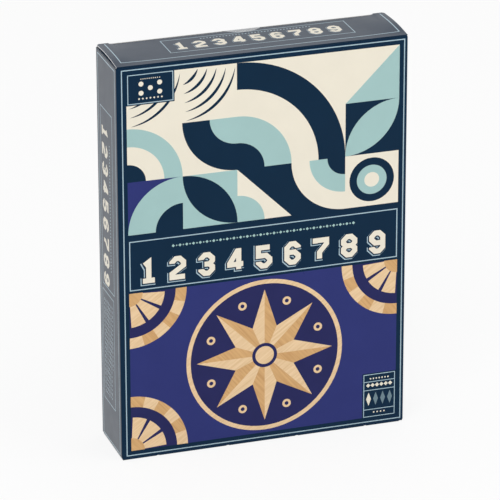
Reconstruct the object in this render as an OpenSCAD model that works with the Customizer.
// Shut the box game in a tuck-top carton that stands upright.
// X runs across the front to the right, Y from the front panel to the back, Z up.
// The origin is the middle of the carton's footprint, on the surface it stands on.
// The wooden tray stands on its left end inside, with its open side towards the front panel.

/* [Carton] */
// Width across the front panel
carton_w = 172; // [160:1:184]
// Depth from the front panel to the back panel
carton_d = 40; // [38:0.5:48]
// Height as it stands
carton_h = 240; // [220:1:260]
// Thickness of the folding board
board_t = 0.6; // [0.5:0.05:0.7]
// Outer radius of the upright creases
corner_r = 0.9; // [0.8:0.05:1.4]
// Gap between folded layers that move past each other
fold_gap = 0.1; // [0.05:0.05:0.2]
// Gap between a hinged flap's rolled crease and the board next to it
crease_gap = 0.06; // [0.04:0.01:0.1]
// Width of the glue flap inside the right side panel
glue_flap_w = 12; // [8:1:16]
// Distance from the glue flap to the carton's top and bottom
glue_flap_inset = 6; // [4:1:12]

/* [Lid] */
// Gap between the lid's side edges and the carton's sides
lid_side_gap = 0.4; // [0.2:0.1:0.8]
// Width of the locking tab at each rear corner of the lid
lock_tab_w = 7; // [5:0.5:10]
// Width of the slit between a locking tab and the tuck flap
lock_slit_w = 0.5; // [0.3:0.1:1]
// Drop of the back panel's cut edge below the lid's top face
back_edge_drop = 0.3; // [0.2:0.1:0.6]
// Length of the tuck flap
tuck_l = 11; // [8:0.5:12]
// Inward lean of the tuck flap
tuck_lean = 10.5; // [10:0.5:12]
// Gap between the tuck flap's crease and the back panel
tuck_gap = 0.15; // [0.1:0.05:0.3]
// Radius of the tuck flap's free corners
tuck_corner_r = 6; // [3:0.5:7]
// Length of a dust flap, from the side panel inwards
dust_l = 30; // [20:1:36]
// How far a dust flap's front edge steps back for each millimetre inwards
dust_taper = 0.6; // [0.56:0.02:0.7]
// Gap between a dust flap's front edge and the front panel at the crease
dust_front_gap = 1; // [0.8:0.1:2]
// Gap between a dust flap's rear edge and the back panel
dust_rear_gap = 3.4; // [3:0.1:5]
// Radius of a dust flap's free corners
dust_corner_r = 4; // [2:0.5:5]

/* [Bottom] */
// Distance from the bottom flap's left edge to the carton's left side
bottom_left_gap = 0.6; // [0.3:0.1:1.5]
// Distance from the bottom flap's right edge to the carton's right side
bottom_right_gap = 2.6; // [1:0.1:4]
// Length of the inner bottom flap, from the back panel forwards
bottom_inner_l = 26; // [18:1:32]
// Distance from the inner bottom flap's side edges to the side panels
bottom_inner_gap = 1.5; // [0.5:0.5:3]
// Number of nicks cut into the bottom crease
nick_count = 4; // [2:1:6]
// Width of a nick
nick_w = 1.6; // [1:0.1:2.5]
// Depth of a nick, from the front
nick_d = 0.35; // [0.2:0.05:0.5]

/* [Seal] */
// Radius of the clear round seal
seal_r = 14.8; // [12:0.1:18]
// Thickness of the seal
seal_t = 0.1; // [0.08:0.01:0.2]
// How far the seal reaches over the lid from the back edge
seal_on_lid = 6.5; // [4:0.1:9]

/* [Tray] */
// Gap on each side between the tray and the carton
tray_side_gap = 1.4; // [0.8:0.1:3]
// Gap between the tray's rim and the front panel
tray_front_gap = 0.5; // [0.3:0.1:1]
// Space behind the tray, for the leaflet and the tuck flap
tray_back_space = 3.2; // [3:0.1:4]
// Free height over the tray, under the dust flaps
tray_headroom = 2.8; // [2.6:0.1:4]
// Gap between the tray's lower end and the bottom flaps
tray_seat_gap = 0.05; // [0.02:0.01:0.1]
// Thickness of the tray's walls
wall_t = 8; // [6:0.5:10]
// Thickness of the tray's floor board
floor_t = 4; // [3:0.5:5]
// Distance from the underside of the walls to the floor board
floor_inset = 1.5; // [1:0.25:3]
// Depth of the groove that holds the floor board
groove_d = 3; // [2:0.5:4]
// Gap between the floor board and the groove, all round
groove_gap = 0.05; // [0.02:0.01:0.1]
// Thickness of the felt in the dice well
felt_t = 1; // [0.6:0.1:1.5]
// Gap between the felt's edge and the wood around it
felt_gap = 0.4; // [0.3:0.1:1]

/* [Tiles] */
// Number of tiles in the row
tile_count = 9; // [6:1:12]
// Length of a tile, from its tail to its free end
tile_l = 43; // [36:0.5:48]
// Thickness of a tile
tile_t = 7; // [5:0.5:8]
// Gap between two tiles, and between the row and the end walls
tile_gap = 0.6; // [0.4:0.1:1]
// Distance from a tile's tail to the rod's axis
tile_tail = 8; // [6.5:0.25:9]
// Radius of the tile's free corners
tile_corner_r = 2; // [1:0.25:3]
// Radius of the rod
rod_r = 2; // [1.5:0.1:2.4]
// Radial gap between the rod and a tile's bore
rod_clearance = 0.08; // [0.03:0.01:0.1]
// Radial gap between the rod and its holes in the end walls
rod_seat_clearance = 0.03; // [0.01:0.01:0.05]
// Depth of the rod's holes in the end walls
rod_seat_d = 5; // [3:0.5:5.5]
// Distance from the back wall to the rod's axis
rod_from_wall = 14; // [11:0.5:18]
// Height of the tile rail above the floor board
rail_h = 9.5; // [6:0.5:11]
// Width of the tile rail
rail_w = 5; // [4:0.5:8]
// Gap between a tile and the rail that it lies on
rail_gap = 0.1; // [0.05:0.05:0.3]

/* [Dice] */
// Edge length of a die
die_a = 16; // [12:0.5:18]
// Radius of the sphere that rounds a die's corners
die_round_r = 11.9; // [11.6:0.1:12.6]
// Radius of a pip's rim
pip_r = 1.4; // [1:0.1:1.8]
// Depth of a pip
pip_d = 0.5; // [0.3:0.05:0.8]
// Distance between the pips' rows on a face
pip_pitch = 4.2; // [3.6:0.1:4.6]
// Distance from the front wall to the first die
die_from_wall = 16; // [6:1:24]
// Gap between the two dice
die_spacing = 7; // [3:0.5:12]
// Gap between a die and the felt behind it
die_felt_gap = 0.3; // [0.2:0.1:0.6]
// Gap between a die and the end wall that it stands on
die_seat_gap = 0.05; // [0.02:0.01:0.1]

/* [Leaflet] */
// Width of the folded leaflet
leaflet_w = 104; // [80:1:108]
// Height of the folded leaflet
leaflet_h = 147; // [120:1:150]
// Thickness of the folded leaflet
leaflet_t = 0.8; // [0.5:0.1:1]
// Gap between the leaflet and the tray's floor board side
leaflet_gap = 0.3; // [0.2:0.1:0.4]
// Gap between the leaflet and the bottom flap that it stands on
leaflet_seat_gap = 0.05; // [0.02:0.01:0.1]

/* [Hidden] */
$fn = 48;

// How far a cutting shape reaches past what it cuts
over = 1;
// Half of the board, the radius of every rolled crease
crease_r = board_t / 2;

// The carton's faces
front_y = -carton_d / 2;
back_y = carton_d / 2;
side_x = carton_w / 2;
front_in_y = front_y + board_t;
back_in_y = back_y - board_t;
side_in_x = side_x - board_t;

// The three layers of the bottom, from the outside in
inner_flap_z = board_t;
bottom_dust_z = 2 * board_t;
bottom_top_z = 3 * board_t;

// The lid's crease along the front edge, and the tuck flap's crease along the back edge
lid_axis_y = front_y + crease_r;
lid_axis_z = carton_h - crease_r;
tuck_axis_y = back_in_y - tuck_gap - crease_r;
lid_w = carton_w - 2 * lid_side_gap;
lid_rear_y = tuck_axis_y - crease_r - crease_gap;
lock_tab_y = back_in_y - fold_gap;
tuck_w = lid_w - 2 * (lock_tab_w + lock_slit_w);

// The dust flaps' creases along the side panels, just under the lid
dust_axis_x = side_x - crease_r;
dust_axis_z = carton_h - board_t - fold_gap - crease_r;
dust_front_y = front_in_y + dust_front_gap;
dust_rear_y = back_in_y - dust_rear_gap;
dust_tip_front_y = dust_front_y + dust_taper * dust_l;

// The top edges of the sleeve's panels
front_top_z = lid_axis_z - crease_r - crease_gap;
back_top_z = carton_h - back_edge_drop;
side_top_z = dust_axis_z - crease_r - crease_gap;

// The tray's outside, and where it stands
tray_w = 2 * (side_in_x - tray_side_gap);
tray_h = carton_d - 2 * board_t - tray_front_gap - tray_back_space;
tray_z = bottom_top_z + tray_seat_gap;
tray_l = dust_axis_z - crease_r - tray_headroom - tray_z;
tray_back_y = back_in_y - tray_back_space;

// Inside the tray as it lies on a table: X along the row, Y from the player to the tiles, Z up
row_l = tray_l - 2 * wall_t;
floor_z = floor_inset + floor_t;
rail_z = floor_z + rail_h;
rod_y = tray_w - wall_t - rod_from_wall;
rod_z = rail_z + rail_gap + tile_t / 2;
tile_front_y = rod_y + tile_tail - tile_l;
tile_w = (row_l - (tile_count + 1) * tile_gap) / tile_count;
tile_pitch = tile_w + tile_gap;

// Points of an arc, from one angle to another
function arc(centre, r, from, to, steps = 8) =
    [for (i = [0 : steps]) let (a = from + (to - from) * i / steps) centre + r * [cos(a), sin(a)]];

// A plate of board whose lower front edge is rounded like a crease: X along the crease, Y away from it
module creased_plate(width, depth) {
    translate([-width / 2, 0, 0])
        rotate([90, 0, 90])
            linear_extrude(width)
                polygon(concat(
                    arc([board_t, board_t], board_t, 180, 270),
                    [[depth, 0], [depth, board_t], [0, board_t]]));
}

// A round crease along X, as long as width
module crease_roll(width) {
    translate([-width / 2, 0, 0])
        rotate([0, 90, 0])
            cylinder(h = width, r = crease_r);
}

// The right side panel with both upright creases, from above
module side_panel_outline() {
    x = side_x - corner_r;
    y = carton_d / 2 - corner_r;
    inner_r = corner_r - board_t;
    polygon(concat(
        arc([x, -y], corner_r, 270, 360),
        arc([x, y], corner_r, 0, 90),
        arc([x, y], inner_r, 90, 0),
        arc([x, -y], inner_r, 360, 270)));
}

// The four panels of the wrap, as one piece of board
module carton_sleeve() {
    flat_w = carton_w - 2 * corner_r;
    color("midnightblue") {
        translate([-flat_w / 2, front_y, board_t])
            cube([flat_w, board_t, front_top_z - board_t]);
        translate([-flat_w / 2, back_in_y, bottom_dust_z])
            cube([flat_w, board_t, back_top_z - bottom_dust_z]);
        for (side = [0, 1])
            mirror([side, 0, 0])
                translate([0, 0, bottom_top_z])
                    linear_extrude(side_top_z - bottom_top_z)
                        side_panel_outline();
    }
}

// The strip that joins the wrap, glued inside the right side panel from the crease's end
module glue_flap() {
    color("gainsboro")
        translate([side_in_x - board_t, back_y - corner_r - glue_flap_w, glue_flap_inset])
            cube([board_t, glue_flap_w, carton_h - 2 * glue_flap_inset]);
}

// The outer bottom flap, folded from the front panel and glued to the flaps above it
module bottom_outer_flap() {
    width = carton_w - bottom_left_gap - bottom_right_gap;
    nick_pitch = width / nick_count;
    color("midnightblue")
        translate([(bottom_left_gap - bottom_right_gap) / 2, front_y, 0])
            difference() {
                creased_plate(width, carton_d - board_t - fold_gap);
                for (i = [0 : nick_count - 1])
                    translate([(i + 0.5) * nick_pitch - width / 2 - nick_w / 2, -over, -over])
                        cube([nick_w, nick_d + over, board_t + 2 * over]);
            }
}

// The inner bottom flap, folded from the back panel
module bottom_inner_flap() {
    color("gainsboro")
        translate([0, back_y, inner_flap_z])
            rotate([0, 0, 180])
                creased_plate(carton_w - 2 * (board_t + bottom_inner_gap), bottom_inner_l);
}

// A bottom dust flap, folded from the left side panel
module bottom_dust_flap() {
    translate([-side_x, 0, bottom_dust_z])
        rotate([0, 0, -90])
            creased_plate(carton_d - 2 * (board_t + dust_front_gap), dust_l);
}

module bottom_dust_flap_left() {
    color("gainsboro") bottom_dust_flap();
}

module bottom_dust_flap_right() {
    color("gainsboro") mirror([1, 0, 0]) bottom_dust_flap();
}

// The lid, creased from the front panel, with a locking tab at each rear corner
module lid_panel() {
    color("midnightblue") {
        translate([0, lid_axis_y, lid_axis_z])
            crease_roll(lid_w);
        translate([-lid_w / 2, lid_axis_y, carton_h - board_t])
            cube([lid_w, lid_rear_y - lid_axis_y, board_t]);
        for (x = [-lid_w / 2, lid_w / 2 - lock_tab_w])
            translate([x, lid_axis_y, carton_h - board_t])
                cube([lock_tab_w, lock_tab_y - lid_axis_y, board_t]);
    }
}

// The tuck flap, creased from the lid and pushed down inside the back panel
module lid_tuck_flap() {
    half = tuck_w / 2;
    color("midnightblue")
        translate([0, tuck_axis_y, lid_axis_z])
            rotate([-tuck_lean, 0, 0]) {
                crease_roll(tuck_w);
                translate([0, crease_r, 0])
                    rotate([90, 0, 0])
                        linear_extrude(board_t)
                            polygon(concat(
                                [[half, 0], [-half, 0]],
                                arc([-half + tuck_corner_r, tuck_corner_r - tuck_l], tuck_corner_r, 180, 270),
                                arc([half - tuck_corner_r, tuck_corner_r - tuck_l], tuck_corner_r, 270, 360)));
            }
}

// A dust flap under the lid, creased from the left side panel, narrower towards its free end
module dust_flap() {
    translate([-dust_axis_x, (dust_front_y + dust_rear_y) / 2, dust_axis_z])
        rotate([0, 0, 90])
            crease_roll(dust_rear_y - dust_front_y);
    translate([0, 0, dust_axis_z - crease_r])
        linear_extrude(board_t)
            polygon(concat(
                [[-dust_axis_x, dust_rear_y], [-dust_axis_x, dust_front_y],
                 [dust_l - dust_axis_x, dust_tip_front_y]],
                arc([dust_l - dust_axis_x - dust_corner_r, dust_rear_y - dust_corner_r],
                    dust_corner_r, 0, 90)));
}

module dust_flap_left() {
    color("gainsboro") dust_flap();
}

module dust_flap_right() {
    color("gainsboro") mirror([1, 0, 0]) dust_flap();
}

// The clear round seal, folded over the lid's back edge and stuck to the back panel
module wafer_seal() {
    color("lightgray", 0.5) {
        intersection() {
            translate([0, back_y + seal_r - seal_on_lid, carton_h])
                cylinder(h = seal_t, r = seal_r, $fn = 96);
            translate([-seal_r, back_y - seal_on_lid - over, carton_h])
                cube([2 * seal_r, seal_on_lid + over + seal_t, seal_t]);
        }
        intersection() {
            translate([0, back_y, carton_h + seal_on_lid - seal_r])
                rotate([-90, 0, 0])
                    cylinder(h = seal_t, r = seal_r, $fn = 96);
            translate([-seal_r, back_y, carton_h + seal_on_lid - 2 * seal_r - over])
                cube([2 * seal_r, seal_t, 2 * seal_r - seal_on_lid + over + seal_t]);
        }
    }
}

// The folded rules leaflet, which stands behind the tray with its fold on the right
module leaflet() {
    fold_r = leaflet_t / 2;
    color("whitesmoke")
        translate([0, tray_back_y + leaflet_gap + fold_r, inner_flap_z + board_t + leaflet_seat_gap]) {
            translate([-leaflet_w / 2, -fold_r, 0])
                cube([leaflet_w - fold_r, leaflet_t, leaflet_h]);
            translate([leaflet_w / 2 - fold_r, 0, 0])
                cylinder(h = leaflet_h, r = fold_r);
        }
}

// Turns the tray, drawn as it lies on a table, to stand on its left end inside the carton
module stand_tray() {
    translate([tray_w / 2, tray_back_y, tray_z])
        rotate([90, -90, 0])
            children();
}

// The groove for the floor board, cut into all four walls
module floor_groove() {
    reach = wall_t - groove_d - groove_gap;
    translate([reach, reach, floor_inset - groove_gap])
        cube([tray_l - 2 * reach, tray_w - 2 * reach, floor_t + 2 * groove_gap]);
}

// A long wall of the tray, which runs past both end walls
module long_wall(y) {
    color("burlywood")
        stand_tray()
            difference() {
                translate([0, y, 0])
                    cube([tray_l, wall_t, tray_h]);
                floor_groove();
            }
}

module tray_front_wall() {
    long_wall(0);
}

module tray_back_wall() {
    long_wall(tray_w - wall_t);
}

// An end wall between the long walls, with a blind hole for the rod
module end_wall(x, seat_x) {
    color("burlywood")
        stand_tray()
            difference() {
                translate([x, wall_t, 0])
                    cube([wall_t, tray_w - 2 * wall_t, tray_h]);
                floor_groove();
                translate([seat_x, rod_y, rod_z])
                    rotate([0, 90, 0])
                        cylinder(h = rod_seat_d, r = rod_r + rod_seat_clearance);
            }
}

module tray_left_end() {
    end_wall(0, wall_t - rod_seat_d);
}

module tray_right_end() {
    end_wall(tray_l - wall_t, tray_l - wall_t);
}

// The floor board, let into the walls' grooves
module tray_floor() {
    edge = wall_t - groove_d;
    color("tan")
        stand_tray()
            translate([edge, edge, floor_inset])
                cube([tray_l - 2 * edge, tray_w - 2 * edge, floor_t]);
}

// The felt that lines the dice well, from the player's wall to the tile rail
module felt_lining() {
    color("darkslateblue")
        stand_tray()
            translate([wall_t + felt_gap, wall_t + felt_gap, floor_z])
                cube([row_l - 2 * felt_gap, tile_front_y - wall_t - 2 * felt_gap, felt_t]);
}

// The rail that the tiles' free ends lie on, in line with those ends
module tile_rail() {
    color("burlywood")
        stand_tray()
            translate([wall_t, tile_front_y, floor_z])
                cube([row_l, rail_w, rail_h]);
}

// The rod that all the tiles turn on, let into both end walls
module tile_rod() {
    color("tan")
        stand_tray()
            translate([wall_t - rod_seat_d, rod_y, rod_z])
                rotate([0, 90, 0])
                    cylinder(h = row_l + 2 * rod_seat_d, r = rod_r);
}

// One tile: a plate with a round tail, rounded free corners and a bore for the rod
module tile(i) {
    tail_r = tile_t / 2;
    color("wheat")
        stand_tray()
            translate([wall_t + tile_gap + (i - 1) * tile_pitch, rod_y, rod_z])
                intersection() {
                    rotate([90, 0, 90])
                        linear_extrude(tile_w)
                            difference() {
                                union() {
                                    translate([tile_tail - tile_l, -tile_t / 2])
                                        square([tile_l - tail_r, tile_t]);
                                    translate([tile_tail - tail_r, 0])
                                        circle(tail_r);
                                }
                                circle(rod_r + rod_clearance);
                            }
                    translate([0, 0, -tile_t])
                        linear_extrude(2 * tile_t)
                            tile_plan();
                }
}

// A tile from above, its bore along X, with its free corners rounded
module tile_plan() {
    free_y = tile_tail - tile_l;
    polygon(concat(
        [[tile_w, tile_tail + over], [0, tile_tail + over]],
        arc([tile_corner_r, free_y + tile_corner_r], tile_corner_r, 180, 270),
        arc([tile_w - tile_corner_r, free_y + tile_corner_r], tile_corner_r, 270, 360)));
}

// The places of a face's pips, in steps of the pips' pitch from its middle
function pip_places(count) = concat(
    count % 2 == 1 ? [[0, 0]] : [],
    count > 1 ? [[-1, 1], [1, -1]] : [],
    count > 3 ? [[1, 1], [-1, -1]] : [],
    count == 6 ? [[-1, 0], [1, 0]] : []);

// The hollows of one face's pips, cut by spheres into the face at the top of a centred die
module face_pips(count) {
    sphere_r = (pip_r * pip_r + pip_d * pip_d) / (2 * pip_d);
    for (place = pip_places(count))
        translate([place[0] * pip_pitch, place[1] * pip_pitch, die_a / 2 - pip_d + sphere_r])
            sphere(sphere_r);
}

// A centred die whose opposite faces add up to seven, with the one on top
module pipped_die() {
    difference() {
        intersection() {
            cube(die_a, center = true);
            sphere(die_round_r, $fn = 96);
        }
        face_pips(1);
        rotate([90, 0, 0]) face_pips(2);
        rotate([0, 90, 0]) face_pips(3);
        rotate([0, -90, 0]) face_pips(4);
        rotate([-90, 0, 0]) face_pips(5);
        rotate([180, 0, 0]) face_pips(6);
    }
}

// A die that stands on the lower end wall, against the felt, in the place given by its number
module die(i) {
    color("wheat")
        stand_tray()
            translate([wall_t + die_seat_gap + die_a / 2,
                       wall_t + die_from_wall + die_a / 2 + (i - 1) * (die_a + die_spacing),
                       floor_z + felt_t + die_felt_gap + die_a / 2])
                rotate([90 * i, 0, 90 * i])
                    pipped_die();
}

carton_sleeve();
glue_flap();
bottom_outer_flap();
bottom_inner_flap();
bottom_dust_flap_left();
bottom_dust_flap_right();
lid_panel();
lid_tuck_flap();
dust_flap_left();
dust_flap_right();
wafer_seal();
leaflet();
tray_front_wall();
tray_back_wall();
tray_left_end();
tray_right_end();
tray_floor();
felt_lining();
tile_rail();
tile_rod();
for (i = [1 : tile_count])
    tile(i);
die(1);  // die_1
die(2);  // die_2
